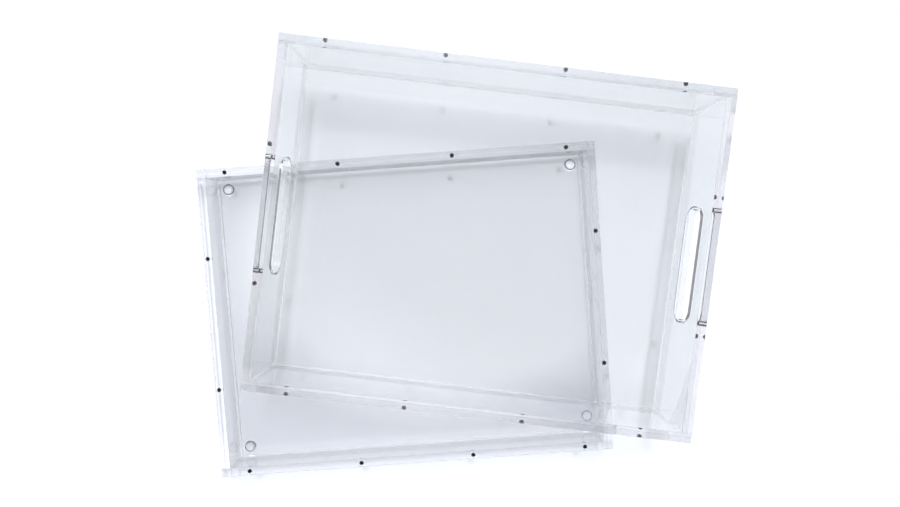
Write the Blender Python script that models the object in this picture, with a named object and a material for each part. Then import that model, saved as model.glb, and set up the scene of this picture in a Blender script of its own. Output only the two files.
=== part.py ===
"""A set of two clear acrylic trays that close on each other with small disc magnets.

The base is a shallow tray on four stick-on bumpers, with magnets in the top edges of its rails. The upper tray is
twice as deep, has a hand slot in each short wall and matching magnets in the bottom edges of its walls. Both are
made of flat sheet panels cemented at their edges: the long walls run the full length, the short walls are butted
between them, and the floor is set inside all four. The upper tray lies askew on the base, and lifts straight off.

Metres, +Z up. The origin is under the middle of the whole set, on the surface that it stands on. The base is
square to the axes, with its long side along X.
"""

import math

import bmesh
import bpy
from mathutils import Matrix, Vector

# Sheet and clear inside size, shared by both trays
SHEET = 0.00635
INNER_LENGTH = 0.2794
INNER_WIDTH = 0.2159
OUTER_LENGTH = INNER_LENGTH + 2 * SHEET
OUTER_WIDTH = INNER_WIDTH + 2 * SHEET

# Heights of the walls, from their bottom edge to their rim
BASE_HEIGHT = 0.0254
TRAY_HEIGHT = 0.0508

# Room between pieces that touch, and the easing of every sheet edge
GAP = 0.0003
ARRIS = 0.0003

# Disc magnets, centred in the thickness of the sheet
MAGNET_RADIUS = 0.0015
MAGNET_HEIGHT = 0.002
MAGNET_RECESS = 0.0001
MAGNET_SIDES = 16
LONG_WALL_MAGNETS = 4
SHORT_WALL_MAGNETS = 2
LONG_WALL_PITCH = 0.0835
SHORT_WALL_PITCH = 0.0976

# Hand slot in each short wall of the upper tray: overall length, height, and its middle above the bottom edge
SLOT_LENGTH = 0.080
SLOT_HEIGHT = 0.020
SLOT_RISE = 0.0260
SLOT_END_SIDES = 16

# Stick-on bumper feet
FOOT_RADIUS = 0.00425
FOOT_HEIGHT = 0.0025
FOOT_SKIRT = 0.0008
FOOT_FLAT_RADIUS = 0.0014
FOOT_INSET = 0.013
FOOT_SIDES = 24
FOOT_DOME_STEPS = 5

# How the upper tray lies on the base: its turn about Z and the shift of its middle from the base's middle
TRAY_TURN = math.radians(-11.0)
TRAY_SHIFT = Vector((0.0596, 0.0479))

# How far a cutter runs past the face that it opens
CUTTER_OVERRUN = 0.001


def principled(name, colour, roughness, metallic=0.0, transmission=0.0, ior=1.45):
    """A Principled material with plain values."""
    made = bpy.data.materials.new(name)
    made.use_nodes = True
    shader = made.node_tree.nodes["Principled BSDF"]
    shader.inputs["Base Color"].default_value = (*colour, 1.0)
    shader.inputs["Roughness"].default_value = roughness
    shader.inputs["Metallic"].default_value = metallic
    shader.inputs["Transmission Weight"].default_value = transmission
    shader.inputs["IOR"].default_value = ior
    return made


def add_object(name, mesh, frame, location, material=None):
    """Links a mesh into the scene as an object that sits at a location in the frame of an empty."""
    made = bpy.data.objects.new(name, mesh)
    bpy.context.scene.collection.objects.link(made)
    made.parent = frame
    made.location = location
    if material:
        mesh.materials.append(material)
    return made


def add_frame(name, location, turn=0.0):
    """An empty that carries one tray: the middle of its underside."""
    frame = bpy.data.objects.new(name, None)
    bpy.context.scene.collection.objects.link(frame)
    frame.location = location
    frame.rotation_euler.z = turn
    return frame


def finished_mesh(name, shape):
    """Turns a bmesh into a mesh, with its faces pointing out."""
    bmesh.ops.recalc_face_normals(shape, faces=shape.faces)
    mesh = bpy.data.meshes.new(name)
    shape.to_mesh(mesh)
    shape.free()
    return mesh


def box_mesh(name, size):
    """A box centred on its own origin."""
    shape = bmesh.new()
    bmesh.ops.create_cube(shape, size=1.0, matrix=Matrix.Diagonal((*size, 1.0)))
    return finished_mesh(name, shape)


def cylinders_mesh(name, centres, radius, height):
    """Upright cylinders, each centred on its own point."""
    shape = bmesh.new()
    for centre in centres:
        bmesh.ops.create_cone(
            shape,
            cap_ends=True,
            segments=MAGNET_SIDES,
            radius1=radius,
            radius2=radius,
            depth=height,
            matrix=Matrix.Translation(centre),
        )
    return finished_mesh(name, shape)


def obround_outline(length, height):
    """Points round a slot with half-round ends, in the YZ plane."""
    radius = height / 2
    reach = length / 2 - radius
    points = []
    for end in (1, -1):
        for step in range(SLOT_END_SIDES + 1):
            angle = math.pi * (step / SLOT_END_SIDES - 0.5)
            across = end * (reach + radius * math.cos(angle))
            points.append(Vector((0.0, across, end * radius * math.sin(angle))))
    return points


def slot_mesh(name, depth):
    """A slot-shaped bar along X, centred on its own origin."""
    shape = bmesh.new()
    start = Vector((-depth / 2, 0.0, 0.0))
    ring = [shape.verts.new(start + point) for point in obround_outline(SLOT_LENGTH, SLOT_HEIGHT)]
    end_face = shape.faces.new(ring)
    grown = bmesh.ops.extrude_face_region(shape, geom=[end_face])
    moved = [item for item in grown["geom"] if isinstance(item, bmesh.types.BMVert)]
    bmesh.ops.translate(shape, verts=moved, vec=(depth, 0.0, 0.0))
    return finished_mesh(name, shape)


def foot_mesh(name):
    """A domed bumper turned about Z, with a small flat to stand on at z = 0 and its sticky face on top."""
    rise = FOOT_HEIGHT - FOOT_SKIRT
    profile = [Vector((0.0, 0.0, 0.0))]
    for step in range(FOOT_DOME_STEPS + 1):
        angle = 0.5 * math.pi * step / FOOT_DOME_STEPS
        across = FOOT_FLAT_RADIUS + (FOOT_RADIUS - FOOT_FLAT_RADIUS) * math.sin(angle)
        profile.append(Vector((across, 0.0, rise * (1.0 - math.cos(angle)))))
    profile.append(Vector((FOOT_RADIUS, 0.0, FOOT_HEIGHT)))
    profile.append(Vector((0.0, 0.0, FOOT_HEIGHT)))
    shape = bmesh.new()
    points = [shape.verts.new(point) for point in profile]
    edges = [shape.edges.new(pair) for pair in zip(points, points[1:])]
    bmesh.ops.spin(
        shape,
        geom=points + edges,
        cent=(0.0, 0.0, 0.0),
        axis=(0.0, 0.0, 1.0),
        angle=2 * math.pi,
        steps=FOOT_SIDES,
        use_duplicate=False,
    )
    bmesh.ops.remove_doubles(shape, verts=shape.verts, dist=1e-6)
    return finished_mesh(name, shape)


def shade_round(mesh):
    """Smooth shading, with the edges between its faces kept crisp."""
    mesh.shade_smooth()
    mesh.set_sharp_from_angle(angle=math.radians(35))


def cut(target, cutter):
    """Cuts one solid out of another, and hides the cutter."""
    cutter.hide_render = True
    cutter.display_type = "WIRE"
    modifier = target.modifiers.new(cutter.name, "BOOLEAN")
    modifier.operation = "DIFFERENCE"
    modifier.solver = "EXACT"
    modifier.object = cutter


def add_panel(name, size, frame, centre, material):
    """A sheet panel with every edge eased."""
    panel = add_object(name, box_mesh(name, size), frame, centre, material)
    easing = panel.modifiers.new("eased edges", "BEVEL")
    easing.width = ARRIS
    easing.segments = 1
    easing.limit_method = "ANGLE"
    return panel


def magnet_spots(side):
    """Where one wall's magnets are, from the middle of the tray."""
    if side in ("back", "front"):
        across = (OUTER_WIDTH - SHEET) / 2 * (1 if side == "back" else -1)
        middle = (LONG_WALL_MAGNETS - 1) / 2
        return [Vector(((i - middle) * LONG_WALL_PITCH, across)) for i in range(LONG_WALL_MAGNETS)]
    along = (OUTER_LENGTH - SHEET) / 2 * (1 if side == "right" else -1)
    middle = (SHORT_WALL_MAGNETS - 1) / 2
    return [Vector((along, (i - middle) * SHORT_WALL_PITCH)) for i in range(SHORT_WALL_MAGNETS)]


def wall_places(height):
    """Each wall's size and centre, from the middle of the tray's underside."""
    short_length = INNER_WIDTH - 2 * GAP
    across = (OUTER_WIDTH - SHEET) / 2
    along = (OUTER_LENGTH - SHEET) / 2
    return {
        "back": ((OUTER_LENGTH, SHEET, height), (0.0, across, height / 2)),
        "front": ((OUTER_LENGTH, SHEET, height), (0.0, -across, height / 2)),
        "left": ((SHEET, short_length, height), (-along, 0.0, height / 2)),
        "right": ((SHEET, short_length, height), (along, 0.0, height / 2)),
    }


def add_magnets(prefix, side, wall, frame, edge_z, inward, steel):
    """Sets magnets into one wall's edge at height edge_z, and cuts their pockets. inward is 1 up, -1 down."""
    spots = magnet_spots(side)
    for number, spot in enumerate(spots, start=1):
        name = f"{prefix}_magnet_{side}_{number}"
        mesh = cylinders_mesh(name, [Vector()], MAGNET_RADIUS, MAGNET_HEIGHT)
        shade_round(mesh)
        height = edge_z + inward * (MAGNET_RECESS + MAGNET_HEIGHT / 2)
        add_object(name, mesh, frame, (*spot, height), steel)
    depth = MAGNET_RECESS + MAGNET_HEIGHT + GAP
    bar = depth + CUTTER_OVERRUN
    middle_z = edge_z + inward * (depth - bar / 2)
    name = f"{prefix}_{side}_pockets"
    mesh = cylinders_mesh(name, [spot.to_3d() for spot in spots], MAGNET_RADIUS + GAP, bar)
    cut(wall, add_object(name, mesh, frame, (0.0, 0.0, middle_z)))


def add_hand_slot(side, wall, frame):
    """Cuts the hand slot through a short wall of the upper tray."""
    name = f"tray_{side}_slot"
    mesh = slot_mesh(name, SHEET + 2 * CUTTER_OVERRUN)
    cut(wall, add_object(name, mesh, frame, (wall.location.x, 0.0, SLOT_RISE)))


def add_box(prefix, wall_word, height, frame, magnets_on_top, acrylic, steel):
    """One open box of five panels and its magnets. Returns its walls by side."""
    walls = {}
    for side, (size, centre) in wall_places(height).items():
        wall = add_panel(f"{prefix}_{side}_{wall_word}", size, frame, centre, acrylic)
        edge_z = height if magnets_on_top else 0.0
        add_magnets(prefix, side, wall, frame, edge_z, -1 if magnets_on_top else 1, steel)
        walls[side] = wall
    floor = (INNER_LENGTH - 2 * GAP, INNER_WIDTH - 2 * GAP, SHEET)
    add_panel(f"{prefix}_floor", floor, frame, (0.0, 0.0, SHEET / 2), acrylic)
    return walls


def add_feet(frame, rubber):
    """A bumper under each corner of the base."""
    across = OUTER_WIDTH / 2 - FOOT_INSET
    along = OUTER_LENGTH / 2 - FOOT_INSET
    for depth_word, y in (("back", across), ("front", -across)):
        for side_word, x in (("left", -along), ("right", along)):
            name = f"bumper_foot_{depth_word}_{side_word}"
            mesh = foot_mesh(name)
            shade_round(mesh)
            add_object(name, mesh, frame, (x, y, -GAP - FOOT_HEIGHT), rubber)


def half_footprint(turn):
    """Half the size along X and Y of a tray's outline that is turned about Z."""
    cos, sin = abs(math.cos(turn)), abs(math.sin(turn))
    return Vector((OUTER_LENGTH * cos + OUTER_WIDTH * sin, OUTER_LENGTH * sin + OUTER_WIDTH * cos)) / 2


def middle_of_set():
    """The middle of the whole set's outline, from the middle of the base."""
    base, tray = half_footprint(0.0), half_footprint(TRAY_TURN)
    low = [min(-base[i], TRAY_SHIFT[i] - tray[i]) for i in (0, 1)]
    high = [max(base[i], TRAY_SHIFT[i] + tray[i]) for i in (0, 1)]
    return (Vector(low) + Vector(high)) / 2


def clear_scene():
    """Starts from an empty scene."""
    for item in list(bpy.data.objects):
        bpy.data.objects.remove(item)


def main():
    clear_scene()
    acrylic = principled("clear_acrylic", (0.95, 0.96, 0.98), 0.03, transmission=1.0, ior=1.49)
    steel = principled("magnet_nickel", (0.22, 0.22, 0.24), 0.3, metallic=1.0)
    rubber = principled("bumper_urethane", (0.9, 0.91, 0.92), 0.12, transmission=0.9, ior=1.5)

    base_middle = -middle_of_set()
    underside = FOOT_HEIGHT + GAP
    base = add_frame("base_frame", (*base_middle, underside))
    add_box("base", "rail", BASE_HEIGHT, base, True, acrylic, steel)
    add_feet(base, rubber)

    tray_middle = base_middle + TRAY_SHIFT
    tray = add_frame("tray_frame", (*tray_middle, underside + BASE_HEIGHT + GAP), TRAY_TURN)
    walls = add_box("tray", "wall", TRAY_HEIGHT, tray, False, acrylic, steel)
    for side in ("left", "right"):
        add_hand_slot(side, walls[side], tray)


main()
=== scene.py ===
"""How the two clear acrylic trays look: polished sheet, disc magnets and domed bumpers."""

import math

import bmesh
import bpy
from mathutils import Matrix, Vector


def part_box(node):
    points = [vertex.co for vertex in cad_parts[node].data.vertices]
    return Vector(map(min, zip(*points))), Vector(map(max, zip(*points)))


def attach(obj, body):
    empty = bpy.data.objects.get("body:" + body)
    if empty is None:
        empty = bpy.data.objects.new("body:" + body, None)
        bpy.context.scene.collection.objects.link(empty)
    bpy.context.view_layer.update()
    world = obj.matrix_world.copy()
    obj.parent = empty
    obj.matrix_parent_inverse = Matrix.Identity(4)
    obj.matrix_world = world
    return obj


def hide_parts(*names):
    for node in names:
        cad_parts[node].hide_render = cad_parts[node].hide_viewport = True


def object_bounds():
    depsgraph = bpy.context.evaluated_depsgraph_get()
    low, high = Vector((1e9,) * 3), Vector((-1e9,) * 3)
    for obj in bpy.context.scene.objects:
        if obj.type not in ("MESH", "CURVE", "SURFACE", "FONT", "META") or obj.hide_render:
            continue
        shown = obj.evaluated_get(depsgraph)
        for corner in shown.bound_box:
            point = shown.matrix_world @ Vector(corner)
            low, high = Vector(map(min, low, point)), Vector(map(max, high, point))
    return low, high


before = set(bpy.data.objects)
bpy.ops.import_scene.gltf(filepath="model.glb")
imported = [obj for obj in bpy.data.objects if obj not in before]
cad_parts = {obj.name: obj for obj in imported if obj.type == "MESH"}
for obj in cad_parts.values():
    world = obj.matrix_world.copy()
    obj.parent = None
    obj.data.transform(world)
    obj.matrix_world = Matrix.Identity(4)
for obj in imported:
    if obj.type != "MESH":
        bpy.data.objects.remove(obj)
cad_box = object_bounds()

# The CAD solids stand this far apart where the real panels are cemented. The visible ones close up
# to a seam
CAD_GAP = 0.0003
SEAM = 0.00003

# Polished edges of the sheet, and of the hand slots
EDGE_RADIUS = 0.0001
SLOT_EDGE_RADIUS = 0.0007
EDGE_STEPS = 3
SLOT_END_STEPS = 32

# A wall's points this far in from its outline, past the magnets' pockets, are on its hand slot
SLOT_MARGIN = 0.0046

# A slotted wall's edges that turn more than this are rounded off
CORNER_TURN = math.radians(60)

# Distances below this count as none
SAME_PLACE = 1e-6

# A panel's face is a broad one where its normal lies this much along the sheet's thickness
BROAD_SHARE = 0.99

# Faces that meet at more than these angles keep a crease between them
PANEL_CREASE = math.radians(14)
MAGNET_CREASE = math.radians(40)
FOOT_CREASE = math.radians(35)

# Magnets and the pockets that hold them
MAGNET_COUNTS = {"back": 4, "front": 4, "left": 2, "right": 2}
MAGNET_SIDES = 48
MAGNET_EDGE_RADIUS = 0.0002
POCKET_CLEARANCE = 0.00008
POCKET_BOTTOM_GAP = 0.00015
CUTTER_OVERRUN = 0.0005

# Bumper feet: how many sides and rings, the shares of the radius that is flat and of the height that
# stands straight, and how close the points at the seam must be to weld
FOOT_SIDES = 64
FOOT_RINGS = 14
FOOT_FLAT_SHARE = 0.12
FOOT_SKIRT_SHARE = 0.25
FOOT_WELD = 1e-7

# Optics. The tints are painted shade: they make up for the photograph's bench, which is white round
# the trays but pale grey under them
ACRYLIC_IOR = 1.49
URETHANE_IOR = 1.5
TRAY_FLOOR_SHADE_TINT = (0.775, 0.780, 0.784)
TRAY_FLOOR_PAINTED_LIGHT_TINT = (0.815, 0.820, 0.825)
BASE_FLOOR_SHADE_TINT = (0.920, 0.920, 0.915)
BASE_FLOOR_PAINTED_SHADE_TINT = (0.740, 0.740, 0.750)
# Painted shade for each side: one acrylic, tinted lighter or darker by how the light falls on that
# side
WALL_SIDE_SHADE_TINTS = {
    "back": (0.800, 0.815, 0.815),
    "front": (0.900, 0.905, 0.915),
    "left": (0.800, 0.815, 0.815),
    "right": (0.805, 0.820, 0.820),
}
RAIL_SIDE_SHADE_TINTS = {
    "back": (0.630, 0.630, 0.640),
    "front": (0.800, 0.800, 0.810),
    "left": (0.700, 0.700, 0.710),
    "right": (0.820, 0.820, 0.830),
}
WALL_EDGE_SIDE_SHADE_TINTS = {
    "back": (0.725, 0.740, 0.740),
    "front": (0.800, 0.790, 0.800),
    "left": (0.780, 0.770, 0.775),
    "right": (0.845, 0.835, 0.845),
}
RAIL_EDGE_SIDE_SHADE_TINTS = {
    "back": (0.840, 0.840, 0.850),
    "front": (0.865, 0.865, 0.875),
    "left": (0.990, 0.990, 1.000),
    "right": (0.865, 0.865, 0.875),
}
SLOT_EDGE_TINT = (0.980, 0.980, 0.990)
BASE_FLOOR_EDGE_SHADE_TINT = (0.950, 0.950, 0.960)
TRAY_FLOOR_EDGE_SHADE_TINT = (0.760, 0.760, 0.770)
SMUDGE_SHARE = 0.99

# Painted shading on the floors: their tints shift with the distance from a place, to painted shade
# away from it on the base and to painted light away from it on the tray. Given are the place, where
# the shift starts and ends, and the tint it ends at. The stretch makes the distance count for more
# along Y
PAINTED_SHADING_STRETCH = (1.0, 1.4, 1.0)
TRAY_PAINTED_LIGHT = ((0.30, 0.26, 0.0), 0.475, 0.540, TRAY_FLOOR_PAINTED_LIGHT_TINT)
BASE_PAINTED_SHADE = ((0.035, 0.045, 0.0), 0.135, 0.185, BASE_FLOOR_PAINTED_SHADE_TINT)

# The dome of a bumper gathers the lamp's light by this much at each of its two faces, and less
# towards its rim
LENS_GAIN = 1.50
LENS_FALL = 1.2

# Its steep rim, dark from above, is painted shade between these two values of Layer Weight's Facing
RIM_START = 0.05
RIM_END = 0.22
DOME_TINTS = ((0.96, 0.965, 0.975), (0.985, 0.99, 1.0))
PAINTED_RIM_SHADE_TINTS = ((0.16, 0.16, 0.17), (0.20, 0.20, 0.21))

# The share of the lamp's light that passes a surface straight on, or straight on and at a glance,
# and how steeply it falls between the two. A share over 1 also stands for light that the sheet's
# edges turn inwards
SHADE_FALL = 5.0
BASE_FLOOR_SHARE = 0.98
BASE_FLOOR_EDGE_SHARE = 0.80
TRAY_FLOOR_SHARE = 1.05
TRAY_FLOOR_EDGE_SHARE = 1.10
EDGE_SHARE = 0.99
RAIL_SHARES = dict.fromkeys(MAGNET_COUNTS, (0.98, 0.80))
WALL_SHARES = {
    "back": (0.91, 0.62),
    "front": (0.98, 0.85),
    "left": (0.91, 0.52),
    "right": (0.91, 0.66),
}

# The lamp's light that each face of a magnet lets by, because the real magnets' shadows are too soft
# to see
MAGNET_SHARE = 0.65

# The magnets' plating, between two greys
DARK_PLATE = ((0.018, 0.018, 0.022), (0.050, 0.050, 0.056))
GREY_PLATE = ((0.220, 0.220, 0.235), (0.300, 0.300, 0.315))

# The bench, between two whites, and half its width
BENCH_TINTS = ((0.895, 0.90, 0.915), (0.915, 0.92, 0.93))
BENCH_REACH = 6.0

# How many times a metre each material's noise repeats
SMUDGE_SCALE = 38.0
WAVE_SCALE = 22.0
RIPPLE_SCALE = 160.0
GRAIN_SCALE = 900.0
CLOUD_SCALE = 300.0
MOTTLE_SCALE = 6.0

# The camera, from the middle of the base on the surface it stands on
CAMERA_OFFSET = Vector((0.0351, 0.0509))
CAMERA_HEIGHT = 0.4052
CAMERA_TURN = math.radians(-4.16)
CAMERA_PITCH = math.radians(-1.67)
CAMERA_ROLL = math.radians(-0.15)
CAMERA_LENS = 20.48
SENSOR_WIDTH = 36.0

# The lamp, from the middle of the base as the camera is turned: a little right, behind and above.
# It is aimed in front of the trays, so that its falloff evens out over the bench
LAMP_PLACE = Vector((0.10, 1.04, 1.90))
LAMP_AIM = Vector((0.0, -0.80, 0.0))
LAMP_SPREAD = math.radians(100.0)
LAMP_WIDTH = 0.30
LAMP_POWER = 14.7

# The room's own light: dim at the horizon, brighter overhead, with a soft glow like a window's at
# this tilt
HORIZON_LIGHT = 0.14
OVERHEAD_LIGHT = 0.36
GLOW_LIGHT = 2.90
GLOW_TILT = math.radians(40.0)
GLOW_REACH = math.radians(30.0)
ROOM_COLOUR = (0.945, 0.935, 0.965)
LAMP_COLOUR = (0.885, 0.935, 1.015)


# ---------------------------------------------------------------- places, from the frame


def middle_of(node):
    """The middle of a CAD node's box."""
    low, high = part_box(node)
    return (low + high) / 2


def tray_axes(prefix):
    """A tray's middle in plan and its turn about Z. The end magnets of its long walls give both."""
    ends = []
    for side in ("back", "front"):
        for number in (1, MAGNET_COUNTS[side]):
            ends.append(middle_of(f"{prefix}_magnet_{side}_{number}"))
    along = ends[1] - ends[0]
    middle = sum(ends, Vector()) / len(ends)
    return Vector((middle.x, middle.y, 0.0)), math.atan2(along.y, along.x)


AXES = {prefix: tray_axes(prefix) for prefix in ("base", "tray")}


def to_world(prefix):
    """The matrix from a tray's own axes to the frame's."""
    middle, turn = AXES[prefix]
    return Matrix.Translation(middle) @ Matrix.Rotation(turn, 4, "Z")


def own_box(prefix, node):
    """A CAD node's box in its tray's own axes."""
    inverse = to_world(prefix).inverted()
    points = [inverse @ vertex.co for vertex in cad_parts[node].data.vertices]
    low = Vector([min(point[i] for point in points) for i in range(3)])
    high = Vector([max(point[i] for point in points) for i in range(3)])
    return low, high


# ---------------------------------------------------------------- materials


def new_material(name):
    """A new material, with its node tree and its Principled node."""
    made = bpy.data.materials.new(name)
    made.use_nodes = True
    return made, made.node_tree, made.node_tree.nodes["Principled BSDF"]


def add_noise(tree, scale, detail):
    """Noise on the piece's own coordinates, in metres. Returns its Fac socket."""
    place = tree.nodes.new("ShaderNodeTexCoord")
    noise = tree.nodes.new("ShaderNodeTexNoise")
    noise.inputs["Scale"].default_value = scale
    noise.inputs["Detail"].default_value = detail
    tree.links.new(place.outputs["Object"], noise.inputs["Vector"])
    return noise.outputs["Fac"]


def add_range(tree, source, low_in, high_in, low, high):
    """Maps a value from one range to another, held at both ends."""
    node = tree.nodes.new("ShaderNodeMapRange")
    node.inputs["From Min"].default_value = low_in
    node.inputs["From Max"].default_value = high_in
    node.inputs["To Min"].default_value = low
    node.inputs["To Max"].default_value = high
    tree.links.new(source, node.inputs["Value"])
    return node.outputs["Result"]


def add_tint(tree, source, first, second):
    """Blends two colours by a value."""
    node = tree.nodes.new("ShaderNodeMix")
    node.data_type = "RGBA"
    node.inputs["A"].default_value = (*first, 1.0)
    node.inputs["B"].default_value = (*second, 1.0)
    tree.links.new(source, node.inputs["Factor"])
    return node.outputs["Result"]


def dulled(tint):
    """A tint where the sheet is smudged."""
    return tuple(channel * SMUDGE_SHARE for channel in tint)


def add_bump(tree, source, strength, distance):
    """A bump from a height value. Returns its Normal socket."""
    node = tree.nodes.new("ShaderNodeBump")
    node.inputs["Strength"].default_value = strength
    node.inputs["Distance"].default_value = distance
    tree.links.new(source, node.inputs["Height"])
    return node.outputs["Normal"]


def add_blend(tree, source, first, second):
    """Blends two colour sockets by a value."""
    node = tree.nodes.new("ShaderNodeMix")
    node.data_type = "RGBA"
    tree.links.new(source, node.inputs["Factor"])
    tree.links.new(first, node.inputs["A"])
    tree.links.new(second, node.inputs["B"])
    return node.outputs["Result"]


def let_lamp_through(tree, shader, clear_share, glancing_share=0.0, fall=SHADE_FALL):
    """Lets shadow rays pass a clear surface, less at a glancing angle as Fresnel's law has it."""
    facing = tree.nodes.new("ShaderNodeLayerWeight")
    facing.inputs["Blend"].default_value = 0.5
    power = tree.nodes.new("ShaderNodeMath")
    power.operation = "POWER"
    power.inputs[1].default_value = fall
    tree.links.new(facing.outputs["Facing"], power.inputs[0])
    passed = add_range(tree, power.outputs["Value"], 0.0, 1.0, clear_share, glancing_share)
    clear = tree.nodes.new("ShaderNodeBsdfTransparent")
    tree.links.new(passed, clear.inputs["Color"])
    rays = tree.nodes.new("ShaderNodeLightPath")
    mix = tree.nodes.new("ShaderNodeMixShader")
    tree.links.new(rays.outputs["Is Shadow Ray"], mix.inputs["Fac"])
    tree.links.new(shader.outputs["BSDF"], mix.inputs[1])
    tree.links.new(clear.outputs["BSDF"], mix.inputs[2])
    tree.links.new(mix.outputs["Shader"], tree.nodes["Material Output"].inputs["Surface"])


def acrylic_face(name, tint, clear_share, glancing_share, painted_shading=None):
    """Cast sheet: glass-clear, with faint smudges and the slight waviness of a cast face."""
    made, tree, shader = new_material(name)
    shader.inputs["Transmission Weight"].default_value = 1.0
    shader.inputs["IOR"].default_value = ACRYLIC_IOR
    smudge = add_noise(tree, SMUDGE_SCALE, 5.0)
    tree.links.new(add_range(tree, smudge, 0.55, 0.75, 0.0, 0.03), shader.inputs["Roughness"])
    # The tint is painted shade; for walls and rails it is set for each side by how the light falls
    # there
    colour = add_tint(tree, smudge, dulled(tint), tint)
    # Painted shading: the tint shifts with the distance from a place
    if painted_shading:
        middle, start, end, far_tint = painted_shading
        place = tree.nodes.new("ShaderNodeTexCoord")
        mapping = tree.nodes.new("ShaderNodeMapping")
        mapping.inputs["Scale"].default_value = PAINTED_SHADING_STRETCH
        away = tree.nodes.new("ShaderNodeVectorMath")
        away.operation = "DISTANCE"
        away.inputs[1].default_value = middle
        tree.links.new(place.outputs["Object"], mapping.inputs["Vector"])
        tree.links.new(mapping.outputs["Vector"], away.inputs[0])
        share = add_range(tree, away.outputs["Value"], start, end, 0.0, 1.0)
        far_colour = add_tint(tree, smudge, dulled(far_tint), far_tint)
        colour = add_blend(tree, share, colour, far_colour)
    tree.links.new(colour, shader.inputs["Base Color"])
    wave = add_noise(tree, WAVE_SCALE, 1.0)
    tree.links.new(add_bump(tree, wave, 0.05, 0.0004), shader.inputs["Normal"])
    let_lamp_through(tree, shader, clear_share, glancing_share)
    return made


def acrylic_edge(name, tint, clear_share):
    """The sheet's cut edge, flame polished: clear, with faint ripples left by the cut."""
    made, tree, shader = new_material(name)
    shader.inputs["Transmission Weight"].default_value = 1.0
    shader.inputs["IOR"].default_value = ACRYLIC_IOR
    ripple = add_noise(tree, RIPPLE_SCALE, 2.0)
    tree.links.new(add_range(tree, ripple, 0.40, 0.75, 0.01, 0.06), shader.inputs["Roughness"])
    # The tint is painted shade; for walls and rails it is set for each side by how the light falls
    # there
    tree.links.new(add_tint(tree, ripple, dulled(tint), tint), shader.inputs["Base Color"])
    tree.links.new(add_bump(tree, ripple, 0.05, 0.0003), shader.inputs["Normal"])
    let_lamp_through(tree, shader, clear_share)
    return made


def magnet_plate(name, dark, light):
    """A plated magnet with a fine grain. The lamp's light partly passes it."""
    made, tree, shader = new_material(name)
    shader.inputs["Metallic"].default_value = 0.85
    grain = add_noise(tree, GRAIN_SCALE, 4.0)
    tree.links.new(add_range(tree, grain, 0.3, 0.7, 0.28, 0.50), shader.inputs["Roughness"])
    tree.links.new(add_tint(tree, grain, dark, light), shader.inputs["Base Color"])
    tree.links.new(add_bump(tree, grain, 0.15, 0.0001), shader.inputs["Normal"])
    let_lamp_through(tree, shader, MAGNET_SHARE, MAGNET_SHARE)
    return made


def bumper_urethane():
    """Clear soft urethane dome, a little cloudy, with painted shade on its steep rim."""
    made, tree, shader = new_material("bumper_urethane")
    shader.inputs["Transmission Weight"].default_value = 1.0
    shader.inputs["IOR"].default_value = URETHANE_IOR
    cloud = add_noise(tree, CLOUD_SCALE, 3.0)
    tree.links.new(add_range(tree, cloud, 0.3, 0.7, 0.01, 0.05), shader.inputs["Roughness"])
    # Painted shade: the steep rim is tinted dark by Layer Weight's Facing
    facing = tree.nodes.new("ShaderNodeLayerWeight")
    facing.inputs["Blend"].default_value = 0.5
    rim = add_range(tree, facing.outputs["Facing"], RIM_START, RIM_END, 0.0, 1.0)
    clear_colour = add_tint(tree, cloud, *DOME_TINTS)
    painted_rim_shade_colour = add_tint(tree, cloud, *PAINTED_RIM_SHADE_TINTS)
    tree.links.new(add_blend(tree, rim, clear_colour, painted_rim_shade_colour), shader.inputs["Base Color"])
    let_lamp_through(tree, shader, LENS_GAIN, fall=LENS_FALL)
    return made


def bench_white():
    """The plain pale surface under the trays."""
    made, tree, shader = new_material("bench_white")
    shader.inputs["Specular IOR Level"].default_value = 0.2
    mottle = add_noise(tree, MOTTLE_SCALE, 3.0)
    tree.links.new(add_tint(tree, mottle, *BENCH_TINTS), shader.inputs["Base Color"])
    tree.links.new(add_range(tree, mottle, 0.3, 0.7, 0.55, 0.75), shader.inputs["Roughness"])
    return made


# ---------------------------------------------------------------- building


FACE, EDGE, SLOT = 0, 1, 2


def add_piece(name, shape, prefix, materials):
    """Makes an object from a bmesh in a tray's own axes."""
    bmesh.ops.recalc_face_normals(shape, faces=shape.faces)
    mesh = bpy.data.meshes.new(name)
    shape.to_mesh(mesh)
    shape.free()
    for material in materials:
        mesh.materials.append(material)
    piece = bpy.data.objects.new(name, mesh)
    bpy.context.scene.collection.objects.link(piece)
    piece.matrix_world = to_world(prefix)
    return piece


def stand_for(piece, node, body):
    """Puts a visible piece in place of its CAD node."""
    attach(piece, body)
    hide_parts(node)


def round_off(shape, chosen, radius):
    """Rounds the chosen edges."""
    bmesh.ops.bevel(
        shape, geom=chosen, offset=radius, segments=EDGE_STEPS, profile=0.5, affect="EDGES",
    )


def plain_panel(low, high, eased):
    """A sheet panel between two corners, with the edges that lie along the eased axes rounded."""
    shape = bmesh.new()
    size = high - low
    place = Matrix.Translation((low + high) / 2) @ Matrix.Diagonal((*size, 1.0))
    bmesh.ops.create_cube(shape, size=1.0, matrix=place)
    chosen = []
    for edge in shape.edges:
        run = edge.verts[1].co - edge.verts[0].co
        axis = max(range(3), key=lambda i: abs(run[i]))
        if axis in eased:
            chosen.append(edge)
    if chosen:
        round_off(shape, chosen, EDGE_RADIUS)
    return shape


def slot_outline(middle_z, length, height):
    """Points (y, z) round a slot with half-round ends."""
    radius = height / 2
    reach = length / 2 - radius
    points = []
    for end in (1, -1):
        for step in range(SLOT_END_STEPS + 1):
            angle = math.pi * (step / SLOT_END_STEPS - 0.5)
            across = reach + radius * math.cos(angle)
            points.append((end * across, middle_z + end * radius * math.sin(angle)))
    return points


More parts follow.
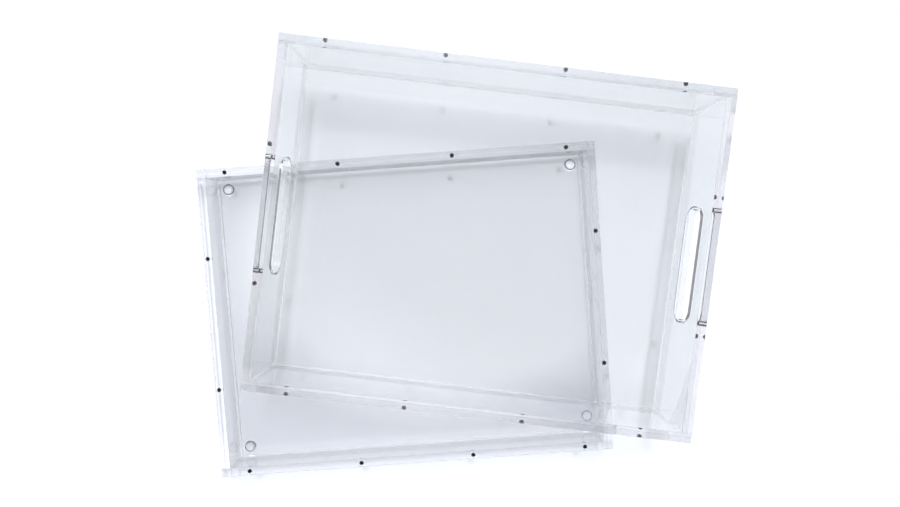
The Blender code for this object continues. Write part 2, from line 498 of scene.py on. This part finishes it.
def frame_outline(points, low, high, middle_z):
    """For each point round the slot, the one straight out from its middle on the panel's outline."""
    found = []
    for y, z in points:
        run = Vector((y, z - middle_z))
        shares = []
        if run.x:
            shares.append((high.y if run.x > 0 else low.y) / run.x)
        if run.y:
            shares.append(((high.z if run.y > 0 else low.z) - middle_z) / run.y)
        share = min(value for value in shares if value > 0)
        found.append([run.x * share, middle_z + run.y * share])
    for corner in ((low.y, low.z), (low.y, high.z), (high.y, low.z), (high.y, high.z)):
        nearest = min(found, key=lambda spot: math.dist(spot, corner))
        nearest[:] = corner
    return found


def slotted_panel(low, high, slot_low, slot_high):
    """A short wall with its hand slot: rings of quads between the slot and the panel's outline."""
    middle_z = (slot_low.z + slot_high.z) / 2
    inner = slot_outline(middle_z, slot_high.y - slot_low.y, slot_high.z - slot_low.z)
    outer = frame_outline(inner, low, high, middle_z)
    shape = bmesh.new()
    rings = {}
    for word, outline in (("slot", inner), ("rim", outer)):
        for side, x in (("low", low.x), ("high", high.x)):
            rings[word, side] = [shape.verts.new((x, y, z)) for y, z in outline]
    count = len(inner)
    bands = (("slot", "low", "rim", "low"), ("slot", "high", "rim", "high"),
             ("slot", "low", "slot", "high"), ("rim", "low", "rim", "high"))
    for word_a, side_a, word_b, side_b in bands:
        first, second = rings[word_a, side_a], rings[word_b, side_b]
        for i in range(count):
            j = (i + 1) % count
            shape.faces.new((first[i], first[j], second[j], second[i]))
    bmesh.ops.recalc_face_normals(shape, faces=shape.faces)
    slot_edges, long_edges = [], []
    for edge in shape.edges:
        a, b = edge.verts[0].co, edge.verts[1].co
        if abs(a.x - b.x) > SAME_PLACE or edge.calc_face_angle(0.0) < CORNER_TURN:
            continue
        at_end = all(abs(abs(p.y) - high.y) < SAME_PLACE for p in (a, b))
        on_rim = all(min(abs(p.z - low.z), abs(p.z - high.z)) < SAME_PLACE for p in (a, b))
        if on_rim and not at_end:
            long_edges.append(edge)
        elif not at_end:
            slot_edges.append(edge)
    round_off(shape, slot_edges, SLOT_EDGE_RADIUS)
    long_edges = [edge for edge in long_edges if edge.is_valid]
    round_off(shape, long_edges, EDGE_RADIUS)
    return shape


def pocket_cutter(prefix, nodes, opens_up):
    """Cylinders a little wider than the magnets, that open their pockets in the sheet's edge."""
    shape = bmesh.new()
    for node in nodes:
        low, high = own_box(prefix, node)
        radius = (high.x - low.x) / 2 + POCKET_CLEARANCE
        bottom = low.z - (POCKET_BOTTOM_GAP if opens_up else CUTTER_OVERRUN)
        top = high.z + (CUTTER_OVERRUN if opens_up else POCKET_BOTTOM_GAP)
        middle = Vector(((low.x + high.x) / 2, (low.y + high.y) / 2, (bottom + top) / 2))
        bmesh.ops.create_cone(
            shape, cap_ends=True, segments=MAGNET_SIDES, radius1=radius, radius2=radius,
            depth=top - bottom, matrix=Matrix.Translation(middle),
        )
    return add_piece(f"{prefix}_cutter", shape, prefix, [])


def cut_pockets(piece, prefix, nodes, opens_up):
    """Cuts the magnets' pockets out of a panel for good."""
    cutter = pocket_cutter(prefix, nodes, opens_up)
    modifier = piece.modifiers.new("pockets", "BOOLEAN")
    modifier.operation = "DIFFERENCE"
    modifier.solver = "EXACT"
    modifier.object = cutter
    bpy.context.view_layer.update()
    seen = piece.evaluated_get(bpy.context.evaluated_depsgraph_get())
    cut_mesh = bpy.data.meshes.new_from_object(seen)
    piece.modifiers.clear()
    old = piece.data
    cut_mesh.name = old.name
    piece.data = cut_mesh
    bpy.data.meshes.remove(old)
    bpy.data.objects.remove(cutter)


def inside_slot(point, slot):
    """Whether a point on a wall's edges belongs to its hand slot."""
    lowest, highest = slot
    reach = Vector((0.0, SLOT_EDGE_RADIUS, SLOT_EDGE_RADIUS))
    low, high = lowest - reach, highest + reach
    return low.y < point.y < high.y and low.z < point.z < high.z


def finish_panel(piece, face_axis, slot=None):
    """Gives faces, cut edges and slot their own materials, and smooths only the slot's round ends."""
    for polygon in piece.data.polygons:
        broad = abs(polygon.normal[face_axis]) > BROAD_SHARE
        polygon.material_index = FACE if broad else EDGE
        if slot and not broad and inside_slot(polygon.center, slot):
            polygon.material_index = SLOT
    piece.data.shade_smooth()
    piece.data.set_sharp_from_angle(angle=PANEL_CREASE)


def magnet(prefix, node, material):
    """A disc magnet with a rounded edge."""
    low, high = own_box(prefix, node)
    shape = bmesh.new()
    radius = (high.x - low.x) / 2
    bmesh.ops.create_cone(
        shape, cap_ends=True, segments=MAGNET_SIDES, radius1=radius, radius2=radius,
        depth=high.z - low.z, matrix=Matrix.Translation((low + high) / 2),
    )
    rims = [edge for edge in shape.edges if abs(edge.verts[0].co.z - edge.verts[1].co.z) < SAME_PLACE]
    round_off(shape, rims, MAGNET_EDGE_RADIUS)
    piece = add_piece(f"{node}_disc", shape, prefix, [material])
    piece.data.shade_smooth()
    piece.data.set_sharp_from_angle(angle=MAGNET_CREASE)
    return piece


def bumper(node, material):
    """A domed bumper, turned about its own axis."""
    low, high = own_box("base", node)
    radius = (high.x - low.x) / 2
    flat = radius * FOOT_FLAT_SHARE
    height = high.z + CAD_GAP - SEAM - low.z
    skirt = height * FOOT_SKIRT_SHARE
    profile = [(0.0, 0.0)]
    for step in range(FOOT_RINGS + 1):
        angle = 0.5 * math.pi * step / FOOT_RINGS
        across = flat + (radius - flat) * math.sin(angle)
        profile.append((across, (height - skirt) * (1 - math.cos(angle))))
    profile += [(radius, height - EDGE_RADIUS), (radius - EDGE_RADIUS, height), (0.0, height)]
    middle = Vector(((low.x + high.x) / 2, (low.y + high.y) / 2, low.z))
    shape = bmesh.new()
    points = [shape.verts.new(middle + Vector((across, 0.0, up))) for across, up in profile]
    edges = [shape.edges.new(pair) for pair in zip(points, points[1:])]
    bmesh.ops.spin(
        shape, geom=points + edges, cent=middle, axis=(0.0, 0.0, 1.0),
        angle=2 * math.pi, steps=FOOT_SIDES, use_duplicate=False,
    )
    bmesh.ops.remove_doubles(shape, verts=shape.verts, dist=FOOT_WELD)
    piece = add_piece(f"{node}_dome", shape, "base", [material])
    piece.data.shade_smooth()
    piece.data.set_sharp_from_angle(angle=FOOT_CREASE)
    return piece


# ---------------------------------------------------------------- the two trays


def slot_corners(prefix, node, low, high):
    """The lowest and highest points of the hand slot in a wall, read from the CAD solid's faces."""
    inverse = to_world(prefix).inverted()
    inside = []
    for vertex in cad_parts[node].data.vertices:
        point = inverse @ vertex.co
        if all(low[i] + SLOT_MARGIN < point[i] < high[i] - SLOT_MARGIN for i in (1, 2)):
            inside.append(point)
    lowest = Vector([min(point[i] for point in inside) for i in range(3)])
    highest = Vector([max(point[i] for point in inside) for i in range(3)])
    return lowest, highest


def build_tray(prefix, wall_word, skins, opens_up, slotted):
    """One open box of five panels and its twelve magnets."""
    close = CAD_GAP - SEAM
    for side, count in MAGNET_COUNTS.items():
        node = f"{prefix}_{side}_{wall_word}"
        low, high = own_box(prefix, node)
        long_wall = side in ("back", "front")
        if not long_wall:
            low.y -= close
            high.y += close
        if slotted and not long_wall:
            slot = slot_corners(prefix, node, low, high)
            shape = slotted_panel(low, high, *slot)
        else:
            slot = None
            shape = plain_panel(low, high, (0, 1, 2) if long_wall else (1,))
        materials = [
            acrylic_face(f"acrylic_{prefix}_{side}", skins["tints"][side], *skins["shares"][side]),
            acrylic_edge(f"acrylic_{prefix}_{side}_edge", skins["edge_tints"][side], EDGE_SHARE),
        ]
        if slot:
            materials.append(skins["slot_edge"])
        piece = add_piece(f"{node}_sheet", shape, prefix, materials)
        magnets = [f"{prefix}_magnet_{side}_{number}" for number in range(1, count + 1)]
        cut_pockets(piece, prefix, magnets, opens_up)
        finish_panel(piece, 1 if long_wall else 0, slot)
        stand_for(piece, node, prefix)
        for magnet_node in magnets:
            disc = magnet(prefix, magnet_node, skins["plate"])
            stand_for(disc, magnet_node, prefix)
    node = f"{prefix}_floor"
    low, high = own_box(prefix, node)
    spread = Vector((close, close, 0.0))
    shape = plain_panel(low - spread, high + spread, ())
    piece = add_piece(f"{node}_sheet", shape, prefix, [skins["floor"], skins["floor_edge"]])
    finish_panel(piece, 2)
    stand_for(piece, node, prefix)


def build_object():
    """Every visible piece of the set."""
    base_skins = {
        "tints": RAIL_SIDE_SHADE_TINTS,
        "edge_tints": RAIL_EDGE_SIDE_SHADE_TINTS,
        "shares": RAIL_SHARES,
        "floor": acrylic_face(
            "acrylic_base_floor", BASE_FLOOR_SHADE_TINT, BASE_FLOOR_SHARE, 0.0, BASE_PAINTED_SHADE,
        ),
        "floor_edge": acrylic_edge(
            "acrylic_base_floor_edge", BASE_FLOOR_EDGE_SHADE_TINT, BASE_FLOOR_EDGE_SHARE,
        ),
        "plate": magnet_plate("magnet_plate_dark", *DARK_PLATE),
    }
    tray_skins = {
        "tints": WALL_SIDE_SHADE_TINTS,
        "edge_tints": WALL_EDGE_SIDE_SHADE_TINTS,
        "shares": WALL_SHARES,
        "slot_edge": acrylic_edge("acrylic_slot_edge", SLOT_EDGE_TINT, EDGE_SHARE),
        "floor": acrylic_face(
            "acrylic_tray_floor", TRAY_FLOOR_SHADE_TINT, TRAY_FLOOR_SHARE, 0.0, TRAY_PAINTED_LIGHT,
        ),
        "floor_edge": acrylic_edge(
            "acrylic_tray_floor_edge", TRAY_FLOOR_EDGE_SHADE_TINT, TRAY_FLOOR_EDGE_SHARE,
        ),
        "plate": magnet_plate("magnet_plate_grey", *GREY_PLATE),
    }
    build_tray("base", "rail", base_skins, opens_up=True, slotted=False)
    build_tray("tray", "wall", tray_skins, opens_up=False, slotted=True)
    urethane = bumper_urethane()
    for depth_word in ("back", "front"):
        for side_word in ("left", "right"):
            node = f"bumper_foot_{depth_word}_{side_word}"
            stand_for(bumper(node, urethane), node, "base")


# ---------------------------------------------------------------- the studio


def build_bench():
    """A wide plain surface, level with the bottoms of the bumpers."""
    shape = bmesh.new()
    bmesh.ops.create_grid(shape, x_segments=1, y_segments=1, size=BENCH_REACH)
    mesh = bpy.data.meshes.new("bench")
    shape.to_mesh(mesh)
    shape.free()
    mesh.materials.append(bench_white())
    bench = bpy.data.objects.new("bench", mesh)
    bpy.context.scene.collection.objects.link(bench)
    bench.location.z = cad_box[0].z


def studio_spot(offset):
    """A place in the frame, from an offset from the middle of the base as the camera is turned."""
    return AXES["base"][0] + Matrix.Rotation(CAMERA_TURN, 3, "Z") @ offset


def build_lights():
    """A dim pale room with a soft glow at the back, and the lamp."""
    scene = bpy.context.scene
    world = bpy.data.worlds.new("room")
    scene.world = world
    world.use_nodes = True
    tree = world.node_tree
    backdrop = tree.nodes["Background"]
    backdrop.inputs["Color"].default_value = (*ROOM_COLOUR, 1.0)
    place = tree.nodes.new("ShaderNodeTexCoord")
    dot = tree.nodes.new("ShaderNodeVectorMath")
    dot.operation = "DOT_PRODUCT"
    glow_middle = Vector((0.0, math.sin(GLOW_TILT), math.cos(GLOW_TILT)))
    dot.inputs[1].default_value = Matrix.Rotation(CAMERA_TURN, 3, "Z") @ glow_middle
    tree.links.new(place.outputs["Generated"], dot.inputs[0])
    glow = add_range(tree, dot.outputs["Value"], math.cos(GLOW_REACH), 1.0, 0.0, GLOW_LIGHT)
    height = tree.nodes.new("ShaderNodeSeparateXYZ")
    tree.links.new(place.outputs["Generated"], height.inputs["Vector"])
    room = add_range(tree, height.outputs["Z"], 0.0, 1.0, HORIZON_LIGHT, OVERHEAD_LIGHT)
    total = tree.nodes.new("ShaderNodeMath")
    total.operation = "ADD"
    tree.links.new(room, total.inputs[0])
    tree.links.new(glow, total.inputs[1])
    tree.links.new(total.outputs["Value"], backdrop.inputs["Strength"])
    world.cycles.sampling_method = "NONE"

    lamp_data = bpy.data.lights.new("lamp", "AREA")
    lamp_data.shape = "DISK"
    lamp_data.size = LAMP_WIDTH
    lamp_data.energy = LAMP_POWER
    lamp_data.color = LAMP_COLOUR
    lamp_data.spread = LAMP_SPREAD
    lamp = bpy.data.objects.new("lamp", lamp_data)
    scene.collection.objects.link(lamp)
    lamp.location = studio_spot(LAMP_PLACE)
    lamp.rotation_mode = "QUATERNION"
    away = studio_spot(LAMP_PLACE) - studio_spot(LAMP_AIM)
    lamp.rotation_quaternion = away.to_track_quat("Z", "Y")
    lamp.visible_glossy = False
    lamp.visible_transmission = False


def build_camera():
    """Looks straight down on the trays, a little turned."""
    data = bpy.data.cameras.new("camera")
    data.lens = CAMERA_LENS
    data.sensor_width = SENSOR_WIDTH
    data.clip_start = 0.01
    camera = bpy.data.objects.new("camera", data)
    bpy.context.scene.collection.objects.link(camera)
    turn = Matrix.Rotation(CAMERA_TURN, 4, "Z")
    pitch = Matrix.Rotation(CAMERA_PITCH, 4, "X")
    roll = Matrix.Rotation(CAMERA_ROLL, 4, "Y")
    spot = AXES["base"][0] + Vector((*CAMERA_OFFSET, cad_box[0].z + CAMERA_HEIGHT))
    camera.matrix_world = Matrix.Translation(spot) @ turn @ pitch @ roll
    bpy.context.scene.camera = camera


def set_picture():
    """Plain colours, and enough bounces for light to cross both trays."""
    scene = bpy.context.scene
    scene.view_settings.view_transform = "Standard"
    scene.cycles.max_bounces = 24
    scene.cycles.transmission_bounces = 24
    scene.cycles.glossy_bounces = 12
    scene.cycles.transparent_max_bounces = 24
    scene.cycles.blur_glossy = 0.0
    scene.cycles.sample_clamp_indirect = 6.0


build_camera()
build_object()
build_bench()
build_lights()
set_picture()

bpy.context.view_layer.update()
